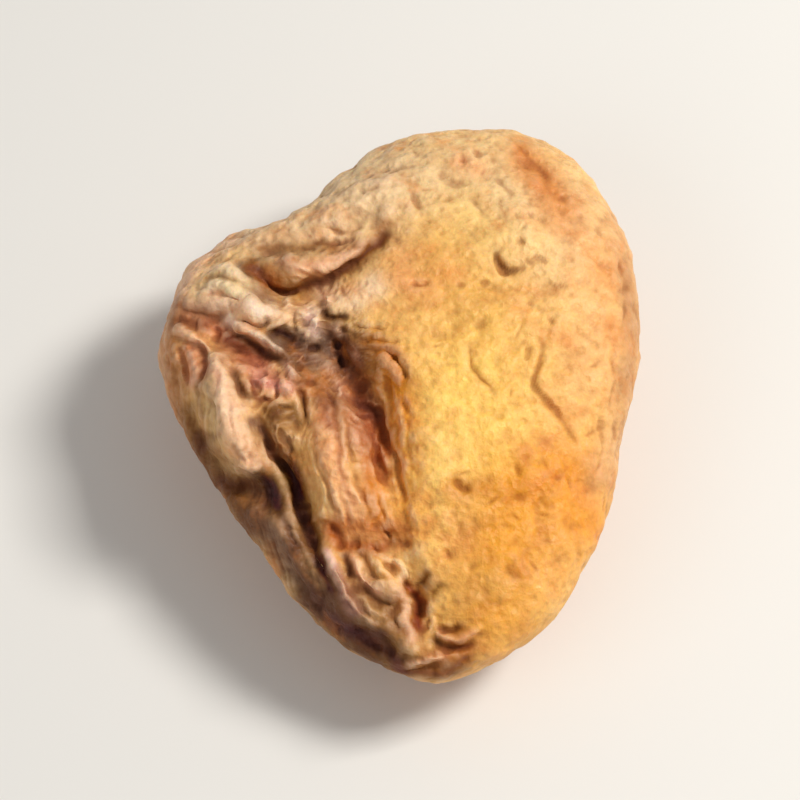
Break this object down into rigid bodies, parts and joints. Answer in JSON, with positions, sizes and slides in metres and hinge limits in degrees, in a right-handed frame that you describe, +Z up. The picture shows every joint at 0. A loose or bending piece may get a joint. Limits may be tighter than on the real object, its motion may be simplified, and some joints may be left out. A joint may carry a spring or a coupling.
{
  "type": "dried apricot",
  "caption": "Dried whole pitted apricot, plump on one side and folded along its suture, lying on one cheek.",
  "frame": {"origin": "centre of the bounding box's bottom face, on the plane the fruit rests on", "axes": "+Z up out of the resting plane; +Y from the pointed blossom end to the broad end, the longest way; +X across the fruit, from the folded suture side to the plump cheek"},
  "size_m": [0.0326, 0.0408, 0.0154],
  "materials": {
    "dried_skin": "satin, wrinkled"
  },
  "bodies": {
    "root": {"apricot": "dried_skin"}
  },
  "joints": []
}
